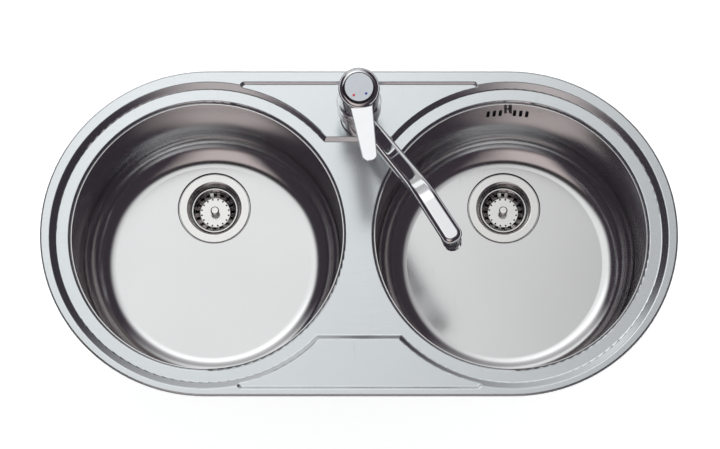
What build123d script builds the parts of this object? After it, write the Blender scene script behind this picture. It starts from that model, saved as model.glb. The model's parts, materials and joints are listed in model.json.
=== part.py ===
from build123d import *

import os
from math import atan, cos, degrees, radians, sin, sqrt, tan

# Double bowl inset kitchen sink with a single lever mixer tap.
# Millimetres. X runs along the sink, Y to the back, Z up.
# The origin is on the worktop's surface, halfway between the centres of both bowls.

# ---- sink deck: one pressed sheet ----
SINK_LENGTH = 840.0
SINK_WIDTH = 440.0
SHEET = 1.0
RIM_HEIGHT = 5.0  # top of the rim above the worktop
RIM_WIDTH = 12.5  # flat band round the outside
RIM_SHIFT = 3.0  # outline's centre line behind the bowls'
RIM_ROUND = 2.5  # outer edge, rolled down
RIM_LIFT = 0.8  # rolled edge stops this far above the worktop
STEP_WIDTH = 8.5  # slope from the rim down to the ledge
LEDGE_WIDTH = 15.0  # flat ledge round each bowl
SADDLE_WIDTH = 32.0  # flat ledge between the bowls, at its narrowest
LEDGE_HEIGHT = 0.5
PLATFORM_HEIGHT = 3.5  # tap platform and its twin at the front
PLATFORM_REACH = 156.0  # half length of the platforms, whose tips run out into the ledges
PLATFORM_CORNER = 4.0  # plan radius at the platforms' tips
SADDLE_BACK = 73.0  # from the ledge's outer edge at the back to the foot of the tap platform's slope
SADDLE_FRONT = 63.0  # the same at the front platform
STEP_ROUND = 4.5  # where the sheet bends at the head and foot of each slope
EDGE_ROUND = 4.0  # rolled edge of each bowl opening
COLLAR_DEPTH = 12.0  # straight collar that the bowl is welded in
LIP_DROP = 0.5  # bowl lip below the rolled edge

# ---- bowls ----
BOWL_DEPTH = 160.0  # worktop to bowl floor
BOWL_DRAFT = 2.5  # degrees
FLOOR_ROUND = 40.0  # inside radius between wall and floor
DRAIN_BACK = 76.0  # waste centre behind the bowl's centre
SEAT_RADIUS = 49.3  # pressed seat round the waste hole
SEAT_DEPTH = 3.5
SEAT_SLOPE = 1.2  # how much wider the seat is at the floor
WASTE_HOLE_RADIUS = 39.0

# ---- rim seal and fixing clips ----
SEAL_GAP = 0.5  # from the rolled edge's curve to the seal
SEAL_WIDTH = 5.0
WORKTOP = 38.0  # thickest worktop that the clips reach round
CLIP_INSET = 29.0  # screw line from the sink's outer edge
CLIP_ANGLE = 42.0  # of the clips on the round ends
CLIP_ALONG = 90.0  # place of the clips on the straight sides
CLIP_WIDTH = 14.0
CLIP_SHEET = 2.0
CLIP_REACH = 26.0  # from the screw to the claw's tip
CLIP_HEEL = 3.2  # from the screw to the claw's heel
CLIP_TURN = 90.0  # degrees; claws lie along the rim until the sink is fitted
RAIL_HEIGHT = 9.0
RAIL_WIDTH = 9.0
RAIL_LENGTH = 24.0
CLIP_SCREW_RADIUS = 2.5
CLIP_SCREW_HEAD = 4.2

# ---- overflow, right bowl ----
SLOT_WIDTH = 4.4
SLOT_HEIGHT = 25.0
SLOT_PITCH = 8.2
SLOT_FIRST = 9.6  # first slot from the centre line
SLOTS_A_SIDE = 3
SLOT_LEVEL = -40.0
OVERFLOW_SEAL = 2.0
OVERFLOW_LENGTH = 74.0
OVERFLOW_HEIGHT = 46.0
OVERFLOW_DEEP = 24.0  # housing behind its seal, on the centre line
OVERFLOW_WALL = 2.5
OVERFLOW_SCREW_LEVEL = -27.0
OVERFLOW_SCREW_RADIUS = 2.5
OVERFLOW_HEAD_RADIUS = 5.2
OVERFLOW_HEAD_LONG = 5.5
OVERFLOW_HEAD_GAP = 0.4  # under the head, because the wall curves and slopes
HOSE_TAIL_RADIUS = 10.5  # overflow hose tails
HOSE_TAIL_BORE = 8.0
HOSE_TAIL_LONG = 22.0
HOSE_STOP_RADIUS = 13.5  # stop at the root of the waste body's tail
HOSE_STOP = 2.0

# ---- strainer waste ----
FLANGE_RADIUS = 48.5
FLANGE_SEAL = 1.6
WELL_RADIUS = 36.0  # mouth of the well
WELL_LIP = 3.0
WELL_SHELF_RADIUS = 32.6
WELL_SHELF_DEPTH = 13.5
WELL_INNER_RADIUS = 30.6
WELL_DEPTH = 31.0
WELL_OUTLET_RADIUS = 20.0
SPIDER_DROP = 4.0
SPIDER_THICK = 2.0
HUB_RADIUS = 8.0
SPOKES = 4
SPOKE_WIDTH = 4.0
WASTE_SCREW_RADIUS = 3.0
WASTE_SCREW_HEAD = 6.0
WASTE_SCREW_HEAD_THICK = 2.5
WASTE_SEAL = 2.0
WASTE_FLANGE_RADIUS = 48.0
WASTE_WALL = 3.0
WASTE_CUP_RADIUS = 40.0  # outside
WASTE_CUP_LONG = 40.0
WASTE_TAPER = 14.0
OUTLET_RADIUS = 23.9  # 1 1/2 inch pipe thread, outside
OUTLET_BORE = 19.0
OUTLET_LONG = 30.0
WASTE_HUB_GAP = 3.0  # between the two spiders, taken up by the screw
WASTE_HUB_LONG = 15.0
WASTE_SPOKE = 3.0

# ---- strainer basket ----
BASKET_RIM_RADIUS = 31.9
BASKET_BEAD = 0.9
BASKET_SHEET = 0.8
BASKET_RADIUS = 29.4  # inside, at the rim
BASKET_WALL_FOOT = 27.4  # inside, where the slotted slope starts
BASKET_WALL_DEEP = 6.5
BASKET_FLOOR_RADIUS = 20.8
BASKET_SLOPE_DEEP = 5.0
BASKET_SLOTS = 16
BASKET_SLOT_WIDTH = 5.6
BASKET_HOLE_RADIUS = 1.25
BASKET_HOLE_CIRCLE = 18.9
BASKET_CLEAR = 0.6  # rim above the well's shelf
PLUG_RADIUS = 22.5
KNOB_RADIUS = 6.0
KNOB_NECK = 3.2
KNOB_HEIGHT = 13.0

# ---- mixer tap ----
TAP_INSET = 42.0  # tap's axis from the ledge's outer edge at the back
TAP_HOLE_RADIUS = 17.5
TAP_BASE_RADIUS = 25.0
TAP_BASE_THICK = 6.0
TAP_SEAL = 1.0
TAP_RADIUS = 29.0  # fixed body above the spout
TAP_COLLAR = 9.0  # height of the collar at its foot
TAP_GROOVE = 1.2  # groove between collar and body, wide and deep
SWIVEL_RADIUS = 24.0  # spout's ring
BARREL_RADIUS = 19.0
SWIVEL_LENGTH = 42.0
SLIP_RING = 0.8
UPPER_LENGTH = 35.0  # fixed body above the swivel ring
BARREL_CLEAR = 0.08
O_RING = 2.6
O_RING_INNER = BARREL_RADIUS - 0.75 * O_RING
PORT_RADIUS = 4.0  # mixed water's way down from the cartridge
PORT_BACK = 8.8  # its line behind the axis
PORT_CROSS = 3.6  # and from there out to the groove in the barrel
PORT_GROOVE = 2.0
INLET_PORT = 2.8  # from each inlet up to the cartridge
INLET_RADIUS = 4.5  # M10 x 1, at the thread's crest
INLET_LONG = 12.0
INLET_SPACING = 13.0
SHANK_RADIUS = 16.0
SHANK_BORE = 12.5
SHANK_LENGTH = 62.0  # below the deck
SHANK_GRIP = 12.0  # screwed into the body
SHANK_GASKET = 3.0
SHANK_WASHER = 2.0
SHANK_WASHER_RADIUS = 24.5
SHANK_NUT = 8.0
SHANK_NUT_RADIUS = 22.0

# ---- cartridge ----
CARTRIDGE_RADIUS = 17.5
CARTRIDGE_CLEAR = 0.1
CARTRIDGE_NECK = 14.5
CARTRIDGE_CHAMBER = 13.0  # room round the slider
CARTRIDGE_HEIGHT = 38.0  # from its ceramic discs' foot to the lever's pivot
CARTRIDGE_SHOULDER = 20.0  # wide part's height
PIVOT_RISE = 12.0  # lever's pivot above the fixed body
CARRIER_RADIUS = 12.0
CARRIER_CLEAR = 0.05
CARRIER_THICK = 13.0
STEM_WIDTH = 8.0
STEM_CLEAR = 0.05
STEM_PIN_RADIUS = 1.5
STEM_PIN_HOLE = 1.55
STEM_TOP = 30.0  # above the pivot
STEM_BALL = 3.2
STEM_ARM = 13.0  # pivot to ball centre
BALL_CLEAR = 0.15
SLIDER_RADIUS = 9.5
DISC_THICK = 3.0
LIFT_ANGLE = 25.0  # lever's whole lift, half of it before the stem is upright

# ---- lever head ----
DOME_RADIUS = 24.2
DOME_WALL = 1.3
DOME_MOUTH = 12.0
HEAD_CLEAR = 0.5  # between dome and head
HEAD_RADIUS = 26.5
HEAD_SKIRT = 3.0  # skirt's edge above the pivot
HEAD_TOP = 47.0  # crown's middle above the pivot
HEAD_TILT = 10.0  # crown slopes to the front
HEAD_ROUND = 6.5
CAP_RADIUS = 18.2
CAP_CLEAR = 0.15
CAP_THICK = 2.4
CAP_PROUD = 0.6
ARM_REACH = 104.5
ARM_SLOPE = 20.0
ARM_RISE = 40.0  # top of the arm above the pivot, at the head
ARM_ROOT_THICK = 10.0
ARM_TIP_THICK = 6.0
ARM_ROOT_WIDTH = 30.0
ARM_TIP_WIDTH = 18.0
ARM_ROUND = 1.2
GRUB_RADIUS = 2.5
LEVER_TURN = 8.0  # degrees from the front, as it rests

# ---- spout ----
SPOUT_TURN = 32.0  # degrees from the front, as it rests
SPOUT_REACH = 233.0
SPOUT_BEND_AT = 153.0
SPOUT_ROOT = 21.5  # height of the arm's centre line on the axis, above the worktop
SPOUT_HEIGHT = 128.0  # top of the level run above the worktop
SPOUT_ROOT_THICK = 21.0
SPOUT_TIP_THICK = 14.0
SPOUT_ROOT_WIDTH = 23.0
SPOUT_TIP_WIDTH = 28.0
SPOUT_BEND = 70.0
SPOUT_ROUND = 6.5
WATERWAY = 3.6  # radius of the bore along the arm
OUTLET_IN = 14.0  # outlet's centre from the spout's end
OUTLET_TILT = 20.0  # degrees, stream leaning away from the tap
OUTLET_BOSS_RADIUS = 13.0
OUTLET_BOSS = 5.0
AERATOR_RADIUS = 12.4
AERATOR_LENGTH = 18.0
AERATOR_BORE = 9.2
AERATOR_NECK = 10.4
AERATOR_FLUTES = 24
AERATOR_FLUTE = 0.7
INSERT_THICK = 6.0
INSERT_HOLES = 8

# ---- places worked out from the sizes above ----
END_RADIUS = SINK_WIDTH / 2
BOWL_X = SINK_LENGTH / 2 - END_RADIUS
RIM_ROOM = END_RADIUS - RIM_WIDTH - STEP_WIDTH - LEDGE_WIDTH
SADDLE_ROOM = BOWL_X - SADDLE_WIDTH / 2
BOWL_RADIUS = min(RIM_ROOM, SADDLE_ROOM) - EDGE_ROUND
LEDGE_RADIUS = BOWL_RADIUS + EDGE_ROUND + LEDGE_WIDTH
SLOPE_BACK = LEDGE_RADIUS - SADDLE_BACK
SLOPE_FRONT = LEDGE_RADIUS - SADDLE_FRONT
TAP_BACK = LEDGE_RADIUS - TAP_INSET
STEP_SLOPE = STEP_WIDTH / (RIM_HEIGHT - LEDGE_HEIGHT)
LIP_LEVEL = LEDGE_HEIGHT - EDGE_ROUND - LIP_DROP
FLOOR_LEVEL = -BOWL_DEPTH
SEAT_LEVEL = FLOOR_LEVEL - SEAT_DEPTH
CUP_LEVEL = SEAT_LEVEL + FLANGE_SEAL + SHEET  # top of the strainer's flange
WASTE_LEVEL = SEAT_LEVEL - SHEET - WASTE_SEAL  # top of the waste body
SPIDER_LEVEL = CUP_LEVEL - WELL_DEPTH - SPIDER_DROP
WASTE_HUB_LEVEL = SPIDER_LEVEL - SPIDER_THICK - WASTE_HUB_GAP
PLUG_LEVEL = CUP_LEVEL - WELL_DEPTH + SHEET
BASKET_LEVEL = CUP_LEVEL - WELL_SHELF_DEPTH + BASKET_CLEAR
BASKET_FLOOR = BASKET_LEVEL - BASKET_WALL_DEEP - BASKET_SLOPE_DEEP
DECK_UNDER = PLATFORM_HEIGHT - SHEET
TAP_FOOT = PLATFORM_HEIGHT + TAP_SEAL
SWIVEL_LOW = TAP_FOOT + TAP_BASE_THICK + SLIP_RING
SWIVEL_HIGH = SWIVEL_LOW + SWIVEL_LENGTH
UPPER_LOW = SWIVEL_HIGH + SLIP_RING
UPPER_HIGH = UPPER_LOW + UPPER_LENGTH
PIVOT = UPPER_HIGH + PIVOT_RISE
DISC_LEVEL = PIVOT - CARTRIDGE_HEIGHT
HEAD_SOCKET = DOME_RADIUS + HEAD_CLEAR
OUTLET_RUN = SPOUT_REACH - OUTLET_IN
SIDES = {"left": -1, "right": 1}


# ---- small helpers ----
def rod(radius, low, high, x=0.0, y=0.0):
    """Upright cylinder between two heights."""
    base = (Align.CENTER, Align.CENTER, Align.MIN)
    return Pos(x, y, low) * Cylinder(radius, high - low, align=base)


def cone(low_radius, high_radius, low, high, x=0.0, y=0.0):
    """Upright cone between two heights."""
    base = (Align.CENTER, Align.CENTER, Align.MIN)
    return Pos(x, y, low) * Cone(low_radius, high_radius, high - low, align=base)


def ring(outer, inner, low, high, x=0.0, y=0.0):
    """Flat ring between two heights."""
    return rod(outer, low, high, x, y) - rod(inner, low - 1, high + 1, x, y)


def block(x_size, y_size, low, high, x=0.0, y=0.0):
    """Upright box between two heights."""
    base = (Align.CENTER, Align.CENTER, Align.MIN)
    return Pos(x, y, low) * Box(x_size, y_size, high - low, align=base)


def turned(points, radii=None):
    """Solid of revolution about Z from a closed (radius, height) outline."""
    outline = FilletPolyline(*points, radius=radii or [0] * len(points), close=True)
    return revolve(Plane.XZ * make_face(outline), Axis.Z)


def stadium(inset, low, high):
    """The sink's plan outline moved inwards, between two heights."""
    outline = SlotCenterToCenter(2 * BOWL_X, 2 * (END_RADIUS - inset))
    return Pos(0, RIM_SHIFT, low) * extrude(outline, high - low)


def write(name, shape):
    """One STEP file for one node."""
    shape.label = name
    export_step(shape, f"parts/{name}.step")


# ---- deck ----
def step_run(height, drop):
    """How far the step's slope has moved out at a height, for a skin `drop` below the top one."""
    return STEP_SLOPE * (height - LEDGE_HEIGHT) + drop * sqrt(1 + STEP_SLOPE**2)


def level_edges(shape, level):
    """Edges that lie flat at a height."""
    flat = []
    for edge in shape.edges():
        box = edge.bounding_box()
        if max(abs(box.min.Z - level), abs(box.max.Z - level)) < 0.01:
            flat.append(edge)
    return flat


def platform_recess(drop):
    """Shallow tapered pocket from the rim down to the platforms."""
    low, high = PLATFORM_HEIGHT - drop, RIM_HEIGHT + 1
    faces = []
    for level in (low, high):
        grow = step_run(level, drop) - step_run(PLATFORM_HEIGHT, 0)
        half_width = LEDGE_RADIUS + step_run(PLATFORM_HEIGHT, 0) + grow
        outline = RectangleRounded(2 * (PLATFORM_REACH + grow), 2 * half_width, PLATFORM_CORNER + grow)
        faces.append(Pos(0, 0, level) * outline)
    recess = loft(faces, ruled=True)
    return fillet(level_edges(recess, low), STEP_ROUND + drop)


def ledge_pocket(drop):
    """Deeper pocket: a cone round each bowl and a trough across the saddle between them."""
    low, high = LEDGE_HEIGHT - drop, RIM_HEIGHT + 1
    low_run, high_run = step_run(low, drop), step_run(high, drop)
    pocket = Part()
    for side in SIDES.values():
        pocket += cone(LEDGE_RADIUS + low_run, LEDGE_RADIUS + high_run, low, high, side * BOWL_X)
    furthest = max(SLOPE_BACK, SLOPE_FRONT) + high_run
    inside = BOWL_X - sqrt(LEDGE_RADIUS**2 - furthest**2) + STEP_WIDTH
    section = make_face(
        Polyline(
            (-SLOPE_FRONT - low_run, low),
            (SLOPE_BACK + low_run, low),
            (SLOPE_BACK + high_run, high),
            (-SLOPE_FRONT - high_run, high),
            close=True,
        )
    )
    pocket += extrude(Plane.YZ * section, inside, both=True)
    return fillet(level_edges(pocket, low), STEP_ROUND + drop)


def slope_heads(form, drop):
    """Edges where the platforms and the rim bend down into the slopes."""
    heads = [e for e in level_edges(form, PLATFORM_HEIGHT - drop) if e.length > PLATFORM_CORNER**2]
    inner = END_RADIUS - RIM_ROUND - 1
    for edge in level_edges(form, RIM_HEIGHT - drop):
        middle = edge.position_at(0.5)
        beyond = max(abs(middle.X) - BOWL_X, 0)
        if sqrt(beyond**2 + (middle.Y - RIM_SHIFT) ** 2) < inner:
            heads.append(edge)
    return heads


def press_form(drop):
    """Everything under one skin of the deck: the top skin, or the one `drop` below it."""
    top = RIM_HEIGHT - drop
    low = -COLLAR_DEPTH - drop
    form = stadium(drop, RIM_LIFT if drop == 0 else low, top)
    form = fillet(form.edges().group_by(Axis.Z)[-1], RIM_ROUND - drop)
    form += stadium(RIM_WIDTH, low, RIM_LIFT + 1)
    form -= platform_recess(drop)
    form -= ledge_pocket(drop)
    form = fillet(slope_heads(form, drop), STEP_ROUND - drop)
    for side in SIDES.values():
        form -= rod(BOWL_RADIUS + drop, low - 1, top, side * BOWL_X)
    mouths = [e for e in level_edges(form, LEDGE_HEIGHT - drop) if e.geom_type == GeomType.CIRCLE]
    mouths = [e for e in mouths if abs(e.radius - BOWL_RADIUS - drop) < 0.01]
    return fillet(mouths, EDGE_ROUND - drop)


def make_deck():
    deck = press_form(0) - press_form(SHEET)
    return deck - rod(TAP_HOLE_RADIUS, DECK_UNDER - 1, RIM_HEIGHT, 0, TAP_BACK)


# ---- bowls ----
def bowl_form(skin):
    """Solid inside one skin of a bowl at its own centre: 0 for the outer skin, SHEET for the inner."""
    radius = BOWL_RADIUS - skin
    low = FLOOR_LEVEL - SHEET + skin
    foot = radius - (low + COLLAR_DEPTH) * -tan(radians(BOWL_DRAFT))
    lip = LIP_LEVEL + skin
    points = [(0, low), (foot, low), (radius, -COLLAR_DEPTH), (radius, lip), (0, lip)]
    return turned(points, [0, FLOOR_ROUND + SHEET - skin, 0, 0, 0])


def seat_form(skin, side):
    """Pressed waste seat: a short cone under the bowl's floor."""
    low = SEAT_LEVEL - SHEET + skin
    radius = SEAT_RADIUS + SHEET - skin
    rise = SEAT_DEPTH + SHEET
    return cone(radius, radius + SEAT_SLOPE * rise / SEAT_DEPTH, low, low + rise, side * BOWL_X, DRAIN_BACK)


def make_bowl(side):
    centre = Pos(side * BOWL_X, 0, 0)
    outer = centre * bowl_form(0) + seat_form(0, side)
    inner = centre * bowl_form(SHEET) + seat_form(SHEET, side)
    bowl = outer - inner
    bowl -= rod(WASTE_HOLE_RADIUS, WASTE_LEVEL, FLOOR_LEVEL, side * BOWL_X, DRAIN_BACK)
    if side > 0:
        bowl -= overflow_slots()
        bowl -= overflow_bore(OVERFLOW_SCREW_RADIUS)
    return bowl


# ---- overflow ----
def overflow_slots():
    """Upright slots each side of the overflow screw, through the back wall."""
    slots = Part()
    for side in (-1, 1):
        for n in range(SLOTS_A_SIDE):
            x = BOWL_X + side * (SLOT_FIRST + n * SLOT_PITCH)
            outline = SlotOverall(SLOT_HEIGHT, SLOT_WIDTH, rotation=90)
            place = Plane((x, BOWL_RADIUS + OVERFLOW_SEAL, SLOT_LEVEL), x_dir=(1, 0, 0), z_dir=(0, -1, 0))
            slots += extrude(place * outline, BOWL_RADIUS / 4)
    return slots


def overflow_bore(radius):
    """Level rod through the back wall on the overflow screw's line."""
    back = BOWL_RADIUS + OVERFLOW_SEAL + OVERFLOW_DEEP
    place = Plane((BOWL_X, back, OVERFLOW_SCREW_LEVEL), z_dir=(0, -1, 0))
    return extrude(place * Circle(radius), 2 * OVERFLOW_DEEP)


def overflow_block(margin, depth):
    """Rounded block behind the back wall, as deep as asked from the bowl's widest line."""
    outline = RectangleRounded(OVERFLOW_LENGTH - 2 * margin, OVERFLOW_HEIGHT - 2 * margin, 8 - margin)
    place = Plane((BOWL_X, BOWL_RADIUS + depth, SLOT_LEVEL), x_dir=(1, 0, 0), z_dir=(0, -1, 0))
    return extrude(place * outline, BOWL_RADIUS / 4 + depth)


def wall_cone(gap):
    """The right bowl's drafted outside with a gap round it, level with the overflow."""
    low, high = SLOT_LEVEL - OVERFLOW_HEIGHT, -COLLAR_DEPTH
    slope = tan(radians(BOWL_DRAFT))
    reach = gap / cos(radians(BOWL_DRAFT))
    at_low = BOWL_RADIUS + reach + (low - high) * slope
    return cone(at_low, BOWL_RADIUS + reach, low, high, BOWL_X)


def make_overflow_seal():
    seal = overflow_block(0, OVERFLOW_SEAL + 1) & wall_cone(OVERFLOW_SEAL)
    seal -= overflow_block(OVERFLOW_WALL, OVERFLOW_DEEP)
    seal -= wall_cone(0)
    return seal


def make_overflow_housing():
    back = OVERFLOW_SEAL + OVERFLOW_DEEP
    housing = overflow_block(0, back)
    housing -= overflow_block(OVERFLOW_WALL, back - OVERFLOW_WALL)
    post = Pos(BOWL_X, BOWL_RADIUS + back, OVERFLOW_SCREW_LEVEL) * Rot(90, 0, 0)
    base = (Align.CENTER, Align.CENTER, Align.MIN)
    housing += post * Cylinder(2 * OVERFLOW_SCREW_RADIUS, OVERFLOW_DEEP + OVERFLOW_SEAL, align=base)
    tail_y = BOWL_RADIUS + OVERFLOW_SEAL + OVERFLOW_DEEP / 2
    tail_top = SLOT_LEVEL - OVERFLOW_HEIGHT / 2 + OVERFLOW_WALL
    tail_low = tail_top - OVERFLOW_WALL - HOSE_TAIL_LONG
    housing += rod(HOSE_TAIL_RADIUS, tail_low, tail_top, BOWL_X, tail_y)
    housing -= wall_cone(OVERFLOW_SEAL)
    housing -= rod(HOSE_TAIL_BORE, tail_low - 1, tail_top + 1, BOWL_X, tail_y)
    return housing - overflow_bore(OVERFLOW_SCREW_RADIUS)


def make_overflow_screw():
    wall_y = BOWL_RADIUS - SHEET + (OVERFLOW_SCREW_LEVEL + COLLAR_DEPTH) * tan(radians(BOWL_DRAFT))
    place = Pos(BOWL_X, wall_y - OVERFLOW_HEAD_GAP, OVERFLOW_SCREW_LEVEL) * Rot(90, 0, 0)
    base = (Align.CENTER, Align.CENTER, Align.MIN)
    head = Cylinder(OVERFLOW_HEAD_RADIUS, OVERFLOW_HEAD_LONG, align=base)
    head = fillet(head.edges().group_by(Axis.Z)[-1], 1.2)
    head -= Pos(0, 0, OVERFLOW_HEAD_LONG - 1.5) * Box(1.2, 3 * OVERFLOW_HEAD_RADIUS, 3, align=base)
    shank = Pos(0, 0, -OVERFLOW_DEEP) * Cylinder(OVERFLOW_SCREW_RADIUS, OVERFLOW_DEEP, align=base)
    return place * (head + shank)


# ---- rim seal and clips ----
def make_rim_seal():
    under = RIM_HEIGHT - SHEET
    inset = RIM_ROUND + SEAL_GAP
    return stadium(inset, 0, under) - stadium(inset + SEAL_WIDTH, -1, under + 1)


def clip_places():
    """Place of each clip, facing outwards, with the height of the sheet above it."""
    places = []
    radius = END_RADIUS - CLIP_INSET
    for side in SIDES.values():
        for angle in (-CLIP_ANGLE, CLIP_ANGLE):
            turn = angle if side > 0 else 180 - angle
            x = side * BOWL_X + radius * cos(radians(turn))
            y = RIM_SHIFT + radius * sin(radians(turn))
            places.append((Pos(x, y, 0) * Rot(0, 0, turn), LEDGE_HEIGHT - SHEET))
        for end in (-1, 1):
            turn = 90 * side
            place = Pos(end * CLIP_ALONG, RIM_SHIFT + side * radius, 0)
            places.append((place * Rot(0, 0, turn), DECK_UNDER))
    return places


def clip_rail(sheet_level):
    """Welded rail, an upturned channel whose open slot faces down."""
    low = sheet_level - RAIL_HEIGHT
    rail = block(RAIL_WIDTH, RAIL_LENGTH, low, sheet_level)
    rail -= block(RAIL_WIDTH - 2 * SHEET, RAIL_LENGTH + 2, low + SHEET, sheet_level - SHEET)
    rail -= block(2 * CLIP_SCREW_RADIUS + 0.6, RAIL_LENGTH + 2, low - 1, low + SHEET + 1)
    return rail


def clip_claw(sheet_level):
    """Bent strip: heel against the rail, base under the screw, tip under the worktop."""
    base = -WORKTOP - CLIP_SHEET - 4
    heel_top = sheet_level - RAIL_HEIGHT
    points = [
        (-CLIP_HEEL - CLIP_SHEET, base),
        (CLIP_REACH, base),
        (CLIP_REACH, -WORKTOP),
        (CLIP_REACH - CLIP_SHEET, -WORKTOP),
        (CLIP_REACH - CLIP_SHEET - 2, base + CLIP_SHEET),
        (-CLIP_HEEL, base + CLIP_SHEET),
        (-CLIP_HEEL, heel_top),
        (-CLIP_HEEL - CLIP_SHEET, heel_top),
    ]
    claw = extrude(Plane.XZ * make_face(Polyline(*points, close=True)), CLIP_WIDTH / 2, both=True)
    claw -= rod(CLIP_SCREW_RADIUS + 0.3, base - 1, base + CLIP_SHEET + 1)
    return Rot(0, 0, CLIP_TURN) * claw


def clip_screw(sheet_level):
    """Screw hanging from the rail, its driven end under the claw."""
    base = -WORKTOP - CLIP_SHEET - 4
    top = sheet_level - SHEET - 1
    flange = sheet_level - RAIL_HEIGHT + SHEET
    head = rod(CLIP_SCREW_HEAD, base - 3.5, base)
    head -= block(1.2, 3 * CLIP_SCREW_HEAD, base - 4, base - 2)
    return head + rod(CLIP_SCREW_RADIUS, base, flange) + block(6, 8, flange, min(flange + 3, top))


def group(maker):
    """The same small piece at every clip's place, as one node of separate solids."""
    return Compound(children=[place * maker(level) for place, level in clip_places()])


# ---- strainer waste, at its own centre ----
def at_drain(side, shape):
    return Pos(side * BOWL_X, DRAIN_BACK, 0) * shape


def spider(outer, hub, low, high, hole):
    """Hub carried by spokes."""
    web = rod(hub, low, high)
    for n in range(SPOKES):
        spoke = Pos(outer / 2, 0, 0) * block(outer, SPOKE_WIDTH, low, high)
        web += Rot(0, 0, 45 + n * 360 / SPOKES) * spoke
    web = web & rod(outer, low, high)
    return web - rod(hole, low - 1, high + 1)


def make_strainer_cup():
    top = CUP_LEVEL
    low = top - WELL_DEPTH
    t = SHEET
    points = [
        (FLANGE_RADIUS, top - t),
        (FLANGE_RADIUS, top),
        (WELL_RADIUS, top),
        (WELL_SHELF_RADIUS, top - WELL_SHELF_DEPTH + 2),
        (WELL_SHELF_RADIUS, top - WELL_SHELF_DEPTH),
        (WELL_INNER_RADIUS, top - WELL_SHELF_DEPTH),
        (WELL_INNER_RADIUS, low + t),
        (WELL_OUTLET_RADIUS + t, low + t),
        (WELL_OUTLET_RADIUS, low + t - 1),
        (WELL_OUTLET_RADIUS, SPIDER_LEVEL - SPIDER_THICK),
        (WELL_OUTLET_RADIUS + t, SPIDER_LEVEL - SPIDER_THICK),
        (WELL_OUTLET_RADIUS + t, low),
        (WELL_INNER_RADIUS + t, low),
        (WELL_INNER_RADIUS + t, top - WELL_SHELF_DEPTH - t),
        (WELL_SHELF_RADIUS + t, top - WELL_SHELF_DEPTH - t),
        (WELL_SHELF_RADIUS + t, top - WELL_SHELF_DEPTH + 2),
        (WELL_RADIUS + t, top - t),
    ]
    radii = [0, 0.8, WELL_LIP, 2, 0, 0.8, 2.5, 0, 0, 0, 0, 0, 3.5, 0, 0, 0, WELL_LIP - t]
    cup = turned(points, radii)
    return cup + spider(WELL_OUTLET_RADIUS + t / 2, HUB_RADIUS, SPIDER_LEVEL - SPIDER_THICK, SPIDER_LEVEL,
                        WASTE_SCREW_RADIUS)


def make_cup_seal():
    return ring(FLANGE_RADIUS - 1, WASTE_HOLE_RADIUS, SEAT_LEVEL, SEAT_LEVEL + FLANGE_SEAL)


def make_waste_seal():
    return ring(WASTE_FLANGE_RADIUS - 1, WASTE_HOLE_RADIUS, WASTE_LEVEL, WASTE_LEVEL + WASTE_SEAL)


def make_waste_body(side):
    wall = WASTE_WALL
    low = WASTE_LEVEL - WASTE_CUP_LONG
    neck = low - WASTE_TAPER
    end = neck - OUTLET_LONG
    points = [
        (WASTE_FLANGE_RADIUS, WASTE_LEVEL - wall),
        (WASTE_FLANGE_RADIUS, WASTE_LEVEL),
        (WASTE_CUP_RADIUS - wall, WASTE_LEVEL),
        (WASTE_CUP_RADIUS - wall, low + wall),
        (OUTLET_BORE, neck + wall),
        (OUTLET_BORE, end),
        (OUTLET_RADIUS, end),
        (OUTLET_RADIUS, neck),
        (WASTE_CUP_RADIUS, low),
        (WASTE_CUP_RADIUS, WASTE_LEVEL - wall),
    ]
    body = turned(points, [1, 0, 0, 3, 3, 0, 1, 2, 5, 2])
    spoke_low = WASTE_HUB_LEVEL - WASTE_SPOKE
    body += spider(WASTE_CUP_RADIUS - wall / 2, HUB_RADIUS, spoke_low, WASTE_HUB_LEVEL, WASTE_SCREW_RADIUS)
    body += ring(HUB_RADIUS, WASTE_SCREW_RADIUS, WASTE_HUB_LEVEL - WASTE_HUB_LONG, spoke_low)
    if side > 0:
        level = (WASTE_LEVEL + low) / 2
        base = (Align.CENTER, Align.CENTER, Align.MIN)
        tail = Pos(0, WASTE_CUP_RADIUS - wall, level) * Rot(-90, 0, 0)
        stop = wall + HOSE_STOP
        body += tail * Cylinder(HOSE_STOP_RADIUS, stop, align=base)
        body += tail * Cylinder(HOSE_TAIL_RADIUS, stop + HOSE_TAIL_LONG, align=base)
        body -= tail * Pos(0, 0, -wall) * Cylinder(HOSE_TAIL_BORE, HOSE_TAIL_LONG + 3 * wall, align=base)
    return body


def make_waste_screw():
    end = WASTE_HUB_LEVEL - WASTE_HUB_LONG - 3
    points = [
        (0, end),
        (WASTE_SCREW_RADIUS, end),
        (WASTE_SCREW_RADIUS, SPIDER_LEVEL),
        (WASTE_SCREW_HEAD, SPIDER_LEVEL),
        (WASTE_SCREW_HEAD, SPIDER_LEVEL + WASTE_SCREW_HEAD_THICK),
        (0, SPIDER_LEVEL + WASTE_SCREW_HEAD_THICK),
    ]
    screw = turned(points, [0, 0.6, 0, 0, 1, 0])
    top = SPIDER_LEVEL + WASTE_SCREW_HEAD_THICK
    return screw - block(1.4, 3 * WASTE_SCREW_HEAD, top - 1.4, top + 1)


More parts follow.
